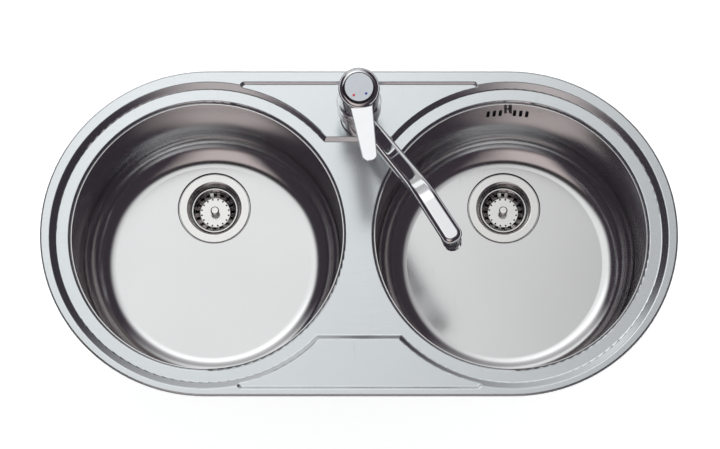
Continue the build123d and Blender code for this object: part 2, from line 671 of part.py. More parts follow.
# ---- basket, at its own centre ----
def make_basket():
    t = BASKET_SHEET
    top = BASKET_LEVEL
    foot = top - BASKET_WALL_DEEP
    points = [
        (BASKET_RIM_RADIUS, top),
        (BASKET_RIM_RADIUS, top + 2 * BASKET_BEAD),
        (BASKET_RADIUS, top + 2 * BASKET_BEAD),
        (BASKET_WALL_FOOT, foot),
        (BASKET_FLOOR_RADIUS, BASKET_FLOOR),
        (0, BASKET_FLOOR),
        (0, BASKET_FLOOR - t),
        (BASKET_FLOOR_RADIUS + t / 2, BASKET_FLOOR - t),
        (BASKET_WALL_FOOT + t, foot - t),
        (BASKET_RADIUS + t, top),
    ]
    basket = turned(points, [0, BASKET_BEAD, BASKET_BEAD, 1, 1.5, 0, 0, 2, 1.5, 0])
    windows = Part()
    slot_in = BASKET_FLOOR_RADIUS + 0.6
    slot_out = BASKET_WALL_FOOT - 0.4
    for n in range(BASKET_SLOTS):
        turn = Rot(0, 0, n * 360 / BASKET_SLOTS)
        half_turn = Rot(0, 0, (n + 0.5) * 360 / BASKET_SLOTS)
        outline = make_face(
            Polyline(
                (slot_in, BASKET_SLOT_WIDTH * 0.38),
                (slot_out, BASKET_SLOT_WIDTH / 2),
                (slot_out, -BASKET_SLOT_WIDTH / 2),
                (slot_in, -BASKET_SLOT_WIDTH * 0.38),
                close=True,
            )
        )
        slot = extrude(outline, BASKET_SLOPE_DEEP + 4 * t)
        windows += turn * Pos(0, 0, BASKET_FLOOR - 2 * t) * slot
        hole = rod(BASKET_HOLE_RADIUS, BASKET_FLOOR - 2 * t, BASKET_FLOOR + 2 * t, BASKET_HOLE_CIRCLE)
        windows += half_turn * hole
    return basket - windows - rod(KNOB_NECK, BASKET_FLOOR - 2 * t, BASKET_FLOOR + 1)


def make_basket_plug():
    top = BASKET_FLOOR - BASKET_SHEET
    low = PLUG_LEVEL
    points = [
        (KNOB_NECK, top),
        (BASKET_HOLE_CIRCLE - BASKET_HOLE_RADIUS - 0.4, top),
        (PLUG_RADIUS, low + 1.2),
        (PLUG_RADIUS, low),
        (WELL_OUTLET_RADIUS - 2, low),
        (WELL_OUTLET_RADIUS - 4, low + 1),
        (KNOB_NECK, low + 1),
    ]
    return turned(points)


def make_basket_knob():
    low = PLUG_LEVEL + 0.2
    top = BASKET_FLOOR + KNOB_HEIGHT
    t = KNOB_NECK
    points = [
        (0, low),
        (t, low),
        (t, BASKET_FLOOR),
        (t + 1.2, BASKET_FLOOR),
        (t, BASKET_FLOOR + 2),
        (t, top - 4.5),
        (KNOB_RADIUS, top - 3),
        (KNOB_RADIUS, top - 1),
        (KNOB_RADIUS - 1.5, top),
        (0, top),
    ]
    return turned(points, [0, 0, 0, 0, 0, 1, 0.8, 1, 1, 0])


# ---- tap: fixed pieces, on the tap's own axis ----
def at_tap(shape, turn=0.0):
    return Pos(0, TAP_BACK, 0) * Rot(0, 0, turn) * shape


def make_tap_base_seal():
    return ring(TAP_BASE_RADIUS - 2, TAP_HOLE_RADIUS, PLATFORM_HEIGHT, TAP_FOOT)


def make_tap_base():
    top = TAP_FOOT + TAP_BASE_THICK
    points = [
        (BARREL_RADIUS, TAP_FOOT),
        (TAP_BASE_RADIUS, TAP_FOOT),
        (TAP_BASE_RADIUS, TAP_FOOT + TAP_BASE_THICK / 2),
        (SWIVEL_RADIUS, top),
        (BARREL_RADIUS, top),
    ]
    return turned(points, [0, 0, 0.8, 0.5, 0])


def make_tap_upper():
    """Outside of the fixed body over the spout: collar, groove and body, with a step under the dome."""
    groove = UPPER_LOW + TAP_COLLAR
    step = UPPER_HIGH - TAP_COLLAR / 2
    points = [
        (0, UPPER_LOW),
        (TAP_RADIUS, UPPER_LOW),
        (TAP_RADIUS, groove),
        (TAP_RADIUS - TAP_GROOVE, groove),
        (TAP_RADIUS - TAP_GROOVE, groove + TAP_GROOVE),
        (TAP_RADIUS, groove + TAP_GROOVE),
        (TAP_RADIUS, step),
        (TAP_RADIUS - TAP_GROOVE, step),
        (TAP_RADIUS - TAP_GROOVE, UPPER_HIGH),
        (0, UPPER_HIGH),
    ]
    edge = TAP_GROOVE / 2
    return turned(points, [0, 2 * edge, edge, 0, 0, edge, edge, 0, edge, 0])


def make_tap_body():
    cavity = CARTRIDGE_RADIUS + CARTRIDGE_CLEAR
    body = rod(BARREL_RADIUS, TAP_FOOT, UPPER_LOW)
    body += make_tap_upper()
    body -= rod(cavity, DISC_LEVEL, UPPER_HIGH + 1)
    body -= rod(SHANK_RADIUS, TAP_FOOT - 1, TAP_FOOT + SHANK_GRIP)
    for level in o_ring_levels():
        half = O_RING / 2
        body -= ring(BARREL_RADIUS + 1, O_RING_INNER, level - half, level + half)
    port = (SWIVEL_LOW + SWIVEL_HIGH) / 2
    body -= ring(BARREL_RADIUS + 1, BARREL_RADIUS - PORT_GROOVE, port - PORT_RADIUS, port + PORT_RADIUS)
    for side in (-1, 1):
        x = side * INLET_SPACING / 2
        floor = TAP_FOOT + SHANK_GRIP
        body -= rod(INLET_RADIUS, floor - 1, floor + INLET_LONG, x)
        body -= rod(INLET_PORT, floor, DISC_LEVEL + 1, x)
    body -= rod(PORT_RADIUS, port, DISC_LEVEL + 1, 0, PORT_BACK)
    base = (Align.CENTER, Align.CENTER, Align.MIN)
    cross = Pos(0, PORT_BACK, port) * Rot(-90, 0, 0) * Cylinder(PORT_CROSS, BARREL_RADIUS, align=base)
    return body - cross


def o_ring_levels():
    return SWIVEL_LOW + 3 * O_RING, SWIVEL_HIGH - 3 * O_RING


def make_spout_slip_rings():
    rings = [
        ring(SWIVEL_RADIUS - 1, BARREL_RADIUS, level, level + SLIP_RING)
        for level in (SWIVEL_LOW - SLIP_RING, SWIVEL_HIGH)
    ]
    return Compound(children=rings)


def make_spout_o_rings():
    middle = (O_RING_INNER + BARREL_RADIUS) / 2
    rings = []
    for level in o_ring_levels():
        section = Ellipse((BARREL_RADIUS - O_RING_INNER) / 2, O_RING / 2.2)
        rings.append(revolve(Plane.XZ * Pos(middle, level) * section, Axis.Z))
    return Compound(children=rings)


def make_tap_shank():
    low = DECK_UNDER - SHANK_LENGTH
    shank = ring(SHANK_RADIUS, SHANK_BORE, low, TAP_FOOT + SHANK_GRIP)
    return chamfer(shank.edges().group_by(Axis.Z)[0].sort_by(SortBy.LENGTH)[-1], 1)


def make_shank_gasket():
    return ring(SHANK_WASHER_RADIUS, SHANK_RADIUS + 0.3, DECK_UNDER - SHANK_GASKET, DECK_UNDER)


def make_shank_washer():
    top = DECK_UNDER - SHANK_GASKET
    return ring(SHANK_WASHER_RADIUS - 1, SHANK_RADIUS + 0.3, top - SHANK_WASHER, top)


def make_shank_nut():
    top = DECK_UNDER - SHANK_GASKET - SHANK_WASHER
    nut = extrude(Pos(0, 0, top - SHANK_NUT) * RegularPolygon(SHANK_NUT_RADIUS, 6), SHANK_NUT)
    nut = nut & cone(SHANK_NUT_RADIUS - 1.6, SHANK_NUT_RADIUS + SHANK_NUT - 1.6, top - SHANK_NUT, top)
    return nut - rod(SHANK_RADIUS, top - SHANK_NUT - 1, top + 1)


# ---- cartridge ----
def make_cartridge_body():
    shoulder = DISC_LEVEL + CARTRIDGE_SHOULDER
    top = PIVOT + CARRIER_THICK / 3
    bore = CARRIER_RADIUS + CARRIER_CLEAR
    carrier = PIVOT - CARRIER_THICK * 2 / 3
    points = [
        (CARTRIDGE_RADIUS - 3, DISC_LEVEL),
        (CARTRIDGE_RADIUS, DISC_LEVEL),
        (CARTRIDGE_RADIUS, shoulder),
        (CARTRIDGE_NECK, shoulder),
        (CARTRIDGE_NECK, top),
        (bore, top),
        (bore, carrier),
        (bore - 1, carrier - 1),
        (CARTRIDGE_CHAMBER, carrier - 1),
        (CARTRIDGE_CHAMBER, DISC_LEVEL + DISC_THICK),
        (CARTRIDGE_RADIUS - 3, DISC_LEVEL + DISC_THICK),
    ]
    return turned(points)


def make_cartridge_nut():
    low = DISC_LEVEL + CARTRIDGE_SHOULDER
    bore = CARTRIDGE_NECK + 2 * CARTRIDGE_CLEAR
    nut = rod(CARTRIDGE_RADIUS, low, UPPER_HIGH)
    nut += extrude(Pos(0, 0, UPPER_HIGH) * RegularPolygon(CARTRIDGE_RADIUS + 1.5, 6), 3)
    return nut - rod(bore, low - 1, UPPER_HIGH + 4)


def make_cartridge_disc():
    """Fixed ceramic disc with both inlets and the outlet."""
    fixed = rod(CARTRIDGE_RADIUS - 3.5, DISC_LEVEL, DISC_LEVEL + DISC_THICK)
    low, high = DISC_LEVEL - 1, DISC_LEVEL + DISC_THICK + 1
    for side in (-1, 1):
        fixed -= rod(INLET_PORT, low, high, side * INLET_SPACING / 2)
    return fixed - rod(PORT_RADIUS, low, high, 0, PORT_BACK - 1)


def make_cartridge_slider():
    """Upper ceramic disc with its driver, moved by the stem's ball."""
    low = DISC_LEVEL + DISC_THICK
    back = STEM_ARM * sin(radians(LIFT_ANGLE / 2))
    ball = PIVOT - STEM_ARM * cos(radians(LIFT_ANGLE / 2))
    slider = rod(SLIDER_RADIUS, low, ball + STEM_BALL / 2, 0, back)
    return slider - rod(STEM_BALL + BALL_CLEAR, ball - STEM_BALL - 1, ball + 2 * STEM_BALL, 0, back)


def make_cartridge_carrier():
    low, high = PIVOT - CARRIER_THICK * 2 / 3, PIVOT + CARRIER_THICK / 3
    carrier = rod(CARRIER_RADIUS, low, high)
    reach = CARRIER_THICK * tan(radians(LIFT_ANGLE / 2)) + STEM_WIDTH / 2 + 1
    carrier -= block(STEM_WIDTH + 0.3, 2 * reach, low - 1, high + 1)
    return carrier - Pos(0, 0, PIVOT) * Rot(0, 90, 0) * Cylinder(STEM_PIN_HOLE, 3 * CARRIER_RADIUS)


def make_stem_pin():
    return Pos(0, 0, PIVOT) * Rot(0, 90, 0) * Cylinder(STEM_PIN_RADIUS, 2 * CARRIER_RADIUS - 1.5)


def make_cartridge_stem():
    """Square stem on its pin, leaning to the front while the lever is down."""
    stem = block(STEM_WIDTH, STEM_WIDTH, -STEM_WIDTH / 2, STEM_TOP)
    stem += rod(STEM_BALL * 0.75, -STEM_ARM, 0)
    stem += Pos(0, 0, -STEM_ARM) * Sphere(STEM_BALL)
    stem -= Rot(0, 90, 0) * Cylinder(STEM_PIN_RADIUS, 2 * STEM_WIDTH)
    return Pos(0, 0, PIVOT) * Rot(LIFT_ANGLE / 2, 0, 0) * stem


def make_dome_cover():
    outer = Sphere(DOME_RADIUS) - Sphere(DOME_RADIUS - DOME_WALL)
    outer = outer & rod(DOME_RADIUS + 1, -PIVOT_RISE, DOME_RADIUS)
    return Pos(0, 0, PIVOT) * (outer - rod(DOME_MOUTH, 0, 2 * DOME_RADIUS))


# ---- lever, built pointing to the front (-Y) ----
def crown_plane(lift):
    """The head's sloping top, lifted along its normal."""
    tilt = radians(HEAD_TILT)
    top = Plane((0, 0, PIVOT + HEAD_TOP), x_dir=(1, 0, 0), z_dir=(0, -sin(tilt), cos(tilt)))
    return top.offset(lift)


def lever_arm():
    """Flat tapering arm with a round end, its sides square to its slope."""
    root = HEAD_RADIUS / 2
    slope = tan(radians(ARM_SLOPE))
    root_top = PIVOT + ARM_RISE - (HEAD_RADIUS - root) * slope
    tip_top = root_top + (ARM_REACH - root) * slope
    side = make_face(
        Polyline(
            (-root, root_top),
            (-ARM_REACH, tip_top),
            (-ARM_REACH, tip_top - ARM_TIP_THICK),
            (-root, root_top - ARM_ROOT_THICK),
            close=True,
        )
    )
    slab = extrude(Plane.YZ * side, ARM_ROOT_WIDTH, both=True)
    end = ARM_TIP_WIDTH / 2
    plan = make_face(
        Polyline(
            (-ARM_ROOT_WIDTH / 2, -root),
            (ARM_ROOT_WIDTH / 2, -root),
            (end, -ARM_REACH),
            (-end, -ARM_REACH),
            close=True,
        )
    )
    tips = plan.vertices().sort_by(Axis.Y)[:2]
    plan = fillet(tips, end * 0.8)
    post = extrude(Pos(0, 0, PIVOT) * plan, 3 * HEAD_TOP)
    arm = slab & post
    upright = [e for e in arm.edges() if e.center().Y < -HEAD_RADIUS]
    return fillet(upright, ARM_ROUND)


def make_lever():
    low = PIVOT + HEAD_SKIRT
    high = PIVOT + HEAD_TOP + HEAD_RADIUS
    head = rod(HEAD_RADIUS, low, high)
    head = split(head, crown_plane(0), keep=Keep.BOTTOM)
    crown = head.edges().sort_by(Axis.Z)[-1]
    head = fillet(crown, HEAD_ROUND)
    lever = head + lever_arm()
    hollow = Pos(0, 0, PIVOT) * Sphere(HEAD_SOCKET)
    lever -= hollow
    lever -= crown_plane(CAP_PROUD - CAP_THICK) * extrude(Circle(CAP_RADIUS + CAP_CLEAR), 2 * CAP_THICK)
    wide = STEM_WIDTH + 2 * STEM_CLEAR
    socket = block(wide, wide, 0, STEM_TOP + 0.5)
    lever -= Pos(0, 0, PIVOT) * Rot(LIFT_ANGLE / 2, 0, 0) * socket
    return lever - grub_line(GRUB_RADIUS, HEAD_RADIUS)


def grub_line(radius, reach):
    """Rod from the stem's back face towards the head's back."""
    base = (Align.CENTER, Align.CENTER, Align.MIN)
    rise = (HEAD_SOCKET + STEM_TOP) / 2
    upright = Pos(0, 0, PIVOT) * Rot(LIFT_ANGLE / 2, 0, 0)
    place = upright * Pos(0, STEM_WIDTH / 2 + STEM_CLEAR, rise) * Rot(-90, 0, 0)
    return place * Cylinder(radius, reach, align=base)


def make_grub_screw():
    return grub_line(GRUB_RADIUS, HEAD_RADIUS / 3)


def make_index_cap():
    base = (Align.CENTER, Align.CENTER, Align.MIN)
    cap = Cylinder(CAP_RADIUS, CAP_THICK, align=base)
    cap = fillet(cap.edges().group_by(Axis.Z)[-1], CAP_PROUD)
    return crown_plane(CAP_PROUD - CAP_THICK) * cap


# ---- spout, built pointing to the front (-Y) ----
def spout_line():
    """Centre line: heights at the axis, the bend and the end, and the rising angle."""
    level = SPOUT_HEIGHT - SPOUT_TIP_THICK / 2
    rise = atan((level - SPOUT_ROOT) / SPOUT_BEND_AT)
    return level, rise


def spout_side():
    """Side outline: rises from the swivel ring, bends and runs level."""
    level, rise = spout_line()
    root_half = SPOUT_ROOT_THICK / 2 / cos(rise)
    tip_half = SPOUT_TIP_THICK / 2
    bend_half = (SPOUT_ROOT_THICK * 0.4 + SPOUT_TIP_THICK * 0.1) / cos(rise / 2)
    shift = bend_half * tan(rise / 2)
    points = [
        (0, SPOUT_ROOT + root_half),
        (-SPOUT_BEND_AT + shift, level + tip_half),
        (-SPOUT_REACH, level + tip_half),
        (-SPOUT_REACH, level - tip_half),
        (-SPOUT_BEND_AT - shift, level - tip_half - 1),
        (0, SPOUT_ROOT - root_half),
    ]
    radii = [0, SPOUT_BEND, 0, 0, SPOUT_BEND - SPOUT_TIP_THICK, 0]
    return make_face(FilletPolyline(*points, radius=radii, close=True))


def outlet_place():
    """Frame at the outlet, its Z axis along the tilted stream, pointing up."""
    level, _ = spout_line()
    return Pos(0, -OUTLET_RUN, level - SPOUT_TIP_THICK / 2) * Rot(-OUTLET_TILT, 0, 0)


def make_spout():
    slab = extrude(Plane.YZ * spout_side(), SPOUT_TIP_WIDTH, both=True)
    end = SPOUT_TIP_WIDTH / 2
    root = SPOUT_ROOT_WIDTH / 2
    plan = make_face(
        Polyline((-root, 0), (root, 0), (end, -SPOUT_REACH), (-end, -SPOUT_REACH), close=True)
    )
    plan = fillet(plan.vertices().sort_by(Axis.Y)[:2], end * 0.85)
    arm = slab & extrude(plan, 2 * SPOUT_HEIGHT)
    long_edges = [e for e in arm.edges() if abs(e.tangent_at(0.5).Y) > 0.5 and abs(e.center().X) > root / 2]
    arm = fillet(long_edges, SPOUT_ROUND)
    boss = outlet_place() * rod(OUTLET_BOSS_RADIUS, -OUTLET_BOSS, SPOUT_TIP_THICK / 2)
    swivel = rod(SWIVEL_RADIUS, SWIVEL_LOW, SWIVEL_HIGH)
    swivel = fillet(swivel.edges(), 0.8)
    spout = arm + swivel + boss
    level, rise = spout_line()
    base = (Align.CENTER, Align.CENTER, Align.MIN)
    along = SPOUT_BEND_AT / cos(rise)
    way = Pos(0, 0, SPOUT_ROOT) * Rot(90 - degrees(rise), 0, 0) * Cylinder(WATERWAY, along, align=base)
    way += Pos(0, -SPOUT_BEND_AT, level) * Sphere(WATERWAY)
    run = Cylinder(WATERWAY, OUTLET_RUN - SPOUT_BEND_AT, align=base)
    way += Pos(0, -SPOUT_BEND_AT, level) * Rot(90, 0, 0) * run
    way += outlet_place() * rod(AERATOR_BORE, -2 * OUTLET_BOSS, SPOUT_TIP_THICK / 2)
    spout -= way
    spout -= outlet_place() * rod(AERATOR_NECK, -2 * OUTLET_BOSS, -1)
    spout -= rod(TAP_BASE_RADIUS + TAP_SEAL, 0, SWIVEL_LOW)
    return spout - rod(BARREL_RADIUS + BARREL_CLEAR, 0, SWIVEL_HIGH + 1)


def make_aerator_housing():
    top = -OUTLET_BOSS
    low = top - AERATOR_LENGTH
    points = [
        (AERATOR_BORE, low),
        (AERATOR_RADIUS - 1.2, low),
        (AERATOR_RADIUS - 0.4, low + AERATOR_LENGTH * 0.4),
        (AERATOR_RADIUS, low + AERATOR_LENGTH * 0.4 + 0.5),
        (AERATOR_RADIUS, top),
        (AERATOR_NECK, top),
        (AERATOR_NECK, -1 - SHEET),
        (AERATOR_BORE, -1 - SHEET),
    ]
    housing = turned(points)
    for n in range(AERATOR_FLUTES):
        flute = rod(AERATOR_FLUTE, low + AERATOR_LENGTH * 0.4, top + 0.1, AERATOR_RADIUS)
        housing -= Rot(0, 0, n * 360 / AERATOR_FLUTES) * flute
    return outlet_place() * housing


def make_aerator_washer():
    return outlet_place() * ring(AERATOR_NECK, AERATOR_BORE - 1, -1 - SHEET, -1)


def make_aerator_insert():
    low = -OUTLET_BOSS - AERATOR_LENGTH + 1.5
    insert = rod(AERATOR_BORE, low, low + INSERT_THICK)
    for n in range(INSERT_HOLES):
        hole = rod(1.5, low - 1, low + INSERT_THICK + 1, AERATOR_BORE * 0.6)
        insert -= Rot(0, 0, n * 360 / INSERT_HOLES) * hole
    return outlet_place() * insert


# ---- every node ----
def main():
    os.makedirs("parts", exist_ok=True)
    write("deck", make_deck())
    write("rim_seal", make_rim_seal())
    write("clip_rails", group(clip_rail))
    write("fixing_clips", group(clip_claw))
    write("clip_screws", group(clip_screw))
    write("overflow_seal", make_overflow_seal())
    write("overflow_housing", make_overflow_housing())
    write("overflow_screw", make_overflow_screw())
    for name, side in SIDES.items():
        write(f"bowl_{name}", make_bowl(side))
        write(f"strainer_cup_{name}", at_drain(side, make_strainer_cup()))
        write(f"cup_seal_{name}", at_drain(side, make_cup_seal()))
        write(f"waste_seal_{name}", at_drain(side, make_waste_seal()))
        write(f"waste_body_{name}", at_drain(side, make_waste_body(side)))
        write(f"waste_screw_{name}", at_drain(side, make_waste_screw()))
        write(f"basket_{name}", at_drain(side, make_basket()))
        write(f"basket_plug_{name}", at_drain(side, make_basket_plug()))
        write(f"basket_knob_{name}", at_drain(side, make_basket_knob()))
    write("tap_base_seal", at_tap(make_tap_base_seal()))
    write("tap_base", at_tap(make_tap_base()))
    write("tap_body", at_tap(make_tap_body()))
    write("tap_shank", at_tap(make_tap_shank()))
    write("shank_gasket", at_tap(make_shank_gasket()))
    write("shank_washer", at_tap(make_shank_washer()))
    write("shank_nut", at_tap(make_shank_nut()))
    write("spout_slip_rings", at_tap(make_spout_slip_rings()))
    write("spout_o_rings", at_tap(make_spout_o_rings()))
    write("cartridge_body", at_tap(make_cartridge_body()))
    write("cartridge_nut", at_tap(make_cartridge_nut()))
    write("cartridge_disc", at_tap(make_cartridge_disc()))
    write("dome_cover", at_tap(make_dome_cover()))
    write("cartridge_carrier", at_tap(make_cartridge_carrier(), LEVER_TURN))
    write("cartridge_slider", at_tap(make_cartridge_slider(), LEVER_TURN))
    write("stem_pin", at_tap(make_stem_pin(), LEVER_TURN))
    write("cartridge_stem", at_tap(make_cartridge_stem(), LEVER_TURN))
    write("lever", at_tap(make_lever(), LEVER_TURN))
    write("index_cap", at_tap(make_index_cap(), LEVER_TURN))
    write("grub_screw", at_tap(make_grub_screw(), LEVER_TURN))
    write("spout", at_tap(make_spout(), SPOUT_TURN))
    write("aerator_housing", at_tap(make_aerator_housing(), SPOUT_TURN))
    write("aerator_washer", at_tap(make_aerator_washer(), SPOUT_TURN))
    write("aerator_insert", at_tap(make_aerator_insert(), SPOUT_TURN))


main()
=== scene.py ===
"""Double bowl kitchen sink with a mixer tap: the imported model, dressed for a studio picture."""
import json
import math

import bpy
import numpy as np
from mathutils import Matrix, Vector

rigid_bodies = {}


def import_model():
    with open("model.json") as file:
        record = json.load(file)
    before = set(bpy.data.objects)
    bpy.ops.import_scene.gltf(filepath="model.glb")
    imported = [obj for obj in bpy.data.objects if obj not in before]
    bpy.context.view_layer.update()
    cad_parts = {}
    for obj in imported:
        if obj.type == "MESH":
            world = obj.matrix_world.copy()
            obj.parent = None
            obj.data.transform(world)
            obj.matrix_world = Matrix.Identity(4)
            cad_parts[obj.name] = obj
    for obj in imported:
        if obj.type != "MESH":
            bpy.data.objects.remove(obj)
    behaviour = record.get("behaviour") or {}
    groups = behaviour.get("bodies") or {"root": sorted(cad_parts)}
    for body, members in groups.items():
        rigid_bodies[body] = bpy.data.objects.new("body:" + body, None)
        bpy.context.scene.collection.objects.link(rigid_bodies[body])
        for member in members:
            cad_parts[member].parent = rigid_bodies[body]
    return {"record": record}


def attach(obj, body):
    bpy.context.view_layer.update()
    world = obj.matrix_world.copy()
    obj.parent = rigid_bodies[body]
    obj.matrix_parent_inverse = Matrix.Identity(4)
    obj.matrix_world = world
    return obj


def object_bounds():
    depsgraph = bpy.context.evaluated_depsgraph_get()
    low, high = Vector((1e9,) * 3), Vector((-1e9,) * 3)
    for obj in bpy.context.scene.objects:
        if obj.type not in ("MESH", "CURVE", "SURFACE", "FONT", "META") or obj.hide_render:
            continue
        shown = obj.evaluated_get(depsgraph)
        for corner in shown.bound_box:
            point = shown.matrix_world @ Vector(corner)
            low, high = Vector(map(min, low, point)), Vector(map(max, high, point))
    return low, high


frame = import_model()
CAD_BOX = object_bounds()

# ---- sizes and places, in metres ----
DRAINS = {"left": (-0.2, 0.076), "right": (0.2, 0.076)}
TAP_Y = 0.157
GROUND = CAD_BOX[0][2]
PIVOT = (0.0, TAP_Y, 0.1011)  # the lever's
LEVER_TURN = math.radians(8.0)  # the lever's direction in the photograph, from straight forwards
CROWN_TILT = math.radians(10.0)  # slope of the lever head's top
CROWN_RISE = 0.047  # from the pivot to the head's top
CAP_PROUD = 0.0006  # the cap's top above the head's
DOT_RADIUS = 0.0017
DOT_RISE = 0.00012
DOT_ACROSS = 0.008  # each dot's centre from the cap's centre
DOT_LOW = 0.0096
SUNK = 0.00003  # how far a dot's rim lies in the cap
OUTLET_THREAD = {"radius": 0.0239, "pitch": 0.0023, "depth": 0.0005}
OUTLET_THREAD_ENDS = (GROUND + 0.001, GROUND + 0.027)
SHANK_THREAD = {"radius": 0.016, "pitch": 0.0015, "depth": 0.0004}
SHANK_THREAD_ENDS = (-0.0585, -0.0115)
THREAD_SUNK = 0.00005  # how far a ridge's foot lies in the part
PAINTED_SHADE_DEEP, PAINTED_SHADE_TOP = -0.171, -0.1625  # heights between which a strainer's well darkens with painted shade
PAINTED_SHADE_SHARE = 0.22  # share of its colour left at the bottom of that painted shade

# ---- surface marks, in metres ----
LINE_DEPTH = 0.00005  # brushed lines
PEEL_DEPTH = 0.0001  # orange peel of mouldings

# ---- picture frame ----
PICTURE_WIDTH = 720
ELEVATION = 76.0
DISTANCE = 3.5
PIXELS_PER_METRE = 759.5
CENTRE_LEFT = 1.0  # object's centre from the picture's middle, in pixels
CENTRE_LOW = 9.5

# ---- studio ----
FLOOR_HALF = 8.0
FLOOR_GAP = 0.0005  # floor below the object's lowest point
FLOOR_LIFT = 0.60  # glow that brings the floor to white
WORLD_LIGHT = 0.35
TENT_RADIUS = 30.0
SKIRT_REACH = 3.0
SKIRT_GAP = 0.0003
LAMP_SIZE = (2.2, 1.8)
LAMPS = (("key", (-0.5, 1.6, 3.2), 75), ("fill", (0.6, -2.4, 2.6), 45))
# tent: share of the strip's colour against the angle to the right, in degrees
ACROSS = ((-29, 0.0), (-17, 1.0), (-1, 1.0), (3.3, 0.82), (6, 0.66), (9.5, 0.44), (18, 0.0))
# tent: share that the angle is multiplied by, against the lean to the back: the strip grows wider there
WIDER = ((30, 1.0), (48, 0.6))
# tent: the strip's colour against the lean to the back, in degrees; the front leans below zero
BLACK, WHITE, HOT = (0.015, 0.012, 0.015), (1.0, 1.0, 1.0), (1.5, 1.5, 1.5)
WARM_DIM, WARM = (0.15, 0.12, 0.12), (0.62, 0.54, 0.53)
GREY = (0.45, 0.44, 0.45)
ALONG = ((-80, WARM_DIM), (-62, WARM_DIM), (-50, WARM), (-16, WARM), (-12, BLACK), (-1, BLACK),
         (4.5, (0.94, 0.94, 0.94)), (11, WHITE), (17.5, WHITE), (20, HOT), (27, HOT),
         (35, (0.62, 0.61, 0.62)), (48, GREY), (52, WHITE), (60, WHITE), (65, GREY))
TENT_DARK = (0.045, 0.035, 0.046)
TENT_PEAK = 1.5
# floor card: grey against the distance from the middle, as a share of its reach
SKIRT_TONES = ((0.1, 0.30), (0.25, 0.16), (0.5, 0.42), (1.0, 0.62))


# ---- node helpers ----
class Net:
    """Short way to add nodes to a tree."""

    def __init__(self, tree):
        self.tree = tree

    def add(self, kind, inputs=None, **settings):
        node = self.tree.nodes.new(kind)
        for key, value in settings.items():
            setattr(node, key, value)
        for key, value in (inputs or {}).items():
            self.put(node, key, value)
        return node

    def put(self, node, key, value):
        socket = node.inputs[key]
        if isinstance(value, bpy.types.NodeSocket):
            self.tree.links.new(value, socket)
        else:
            socket.default_value = value

    def calc(self, operation, *values):
        node = self.add("ShaderNodeMath", operation=operation)
        for n, value in enumerate(values):
            self.put(node, n, value)
        return node.outputs[0]

    def ramp(self, value, stops):
        """Colour ramp; a stop's colour may be one grey number."""
        node = self.add("ShaderNodeValToRGB", {0: value})
        ramp = node.color_ramp
        while len(ramp.elements) < len(stops):
            ramp.elements.new(0.5)
        for element, (place, colour) in zip(ramp.elements, stops):
            element.position = place
            grey = isinstance(colour, (int, float))
            element.color = (colour, colour, colour, 1.0) if grey else (*colour, 1.0)
        return node.outputs[0]


def group(name, inputs, outputs, build):
    """Node group from vectors to values."""
    tree = bpy.data.node_groups.new(name, "ShaderNodeTree")
    for label in inputs:
        tree.interface.new_socket(label, in_out="INPUT", socket_type="NodeSocketVector")
    for label in outputs:
        tree.interface.new_socket(label, in_out="OUTPUT", socket_type="NodeSocketFloat")
    net = Net(tree)
    given = net.add("NodeGroupInput").outputs
    taken = net.add("NodeGroupOutput")
    for key, value in build(net, given).items():
        net.put(taken, key, value)
    return tree


def noise(net, place, scale, detail, **more):
    """Value of a noise texture."""
    inputs = {"Vector": place, "Scale": scale, "Detail": detail, **more}
    return net.add("ShaderNodeTexNoise", inputs).outputs[0]


def brushed(net, given):
    """Fine lines along a stretched direction, cloudy patches and rare hairline marks."""
    fine = noise(net, given["Lines"], 1.0, 4.0, Roughness=0.6)
    cloud = noise(net, given["Place"], 7.0, 3.0)
    warp = net.add("ShaderNodeMapping", {"Vector": given["Place"], "Rotation": (0.3, 0.2, 0.9),
                                         "Scale": (40, 2.5, 40)})
    mark = noise(net, warp.outputs[0], 6.0, 1.0)
    hair = net.ramp(mark, [(0.70, 0.0), (0.74, 1.0), (0.78, 0.0)])
    tone = net.calc("MULTIPLY_ADD", fine, 0.45, net.calc("MULTIPLY", cloud, 0.55))
    return {"Tone": tone, "Lines": fine, "Cloud": cloud, "Marks": hair}


def moulded_skin(net, given):
    """Mottling, fine orange peel and faint flow lines of a moulding."""
    return {"Peel": noise(net, given["Place"], 900.0, 2.0), "Flow": noise(net, given["Place"], 35.0, 3.0)}


BRUSHED = group("brushed_metal", ("Place", "Lines"), ("Tone", "Lines", "Cloud", "Marks"), brushed)
MOULDED = group("moulded_skin", ("Place",), ("Peel", "Flow"), moulded_skin)


# ---- materials ----
def material(name, metallic):
    """A Principled material whose constant sockets are set directly."""
    made = bpy.data.materials.new(name)
    made.use_nodes = True
    net = Net(made.node_tree)
    shader = made.node_tree.nodes["Principled BSDF"]
    net.put(shader, "Metallic", metallic)
    place = net.add("ShaderNodeTexCoord").outputs["Object"]
    return made, net, shader, place


def steel(name, dark, light, roughness, stretch, spread=0.06, bump=0.05):
    """Brushed or satin metal whose lines run along the axis with the smallest stretch."""
    made, net, shader, place = material(name, 1.0)
    lines = net.add("ShaderNodeMapping", {"Vector": place, "Scale": stretch}).outputs[0]
    skin = net.add("ShaderNodeGroup", node_tree=BRUSHED)
    net.put(skin, "Place", place)
    net.put(skin, "Lines", lines)
    net.put(shader, "Base Color", net.ramp(skin.outputs["Tone"], [(0.3, dark), (0.7, light)]))
    rough = net.calc("MULTIPLY_ADD", skin.outputs["Cloud"], spread, roughness - spread / 2)
    rough = net.calc("MULTIPLY_ADD", skin.outputs["Marks"], 0.05, rough)
    net.put(shader, "Roughness", rough)
    ridge = net.add("ShaderNodeBump", {"Height": skin.outputs["Lines"], "Strength": bump,
                                       "Distance": LINE_DEPTH})
    net.put(shader, "Normal", ridge.outputs[0])
    return made


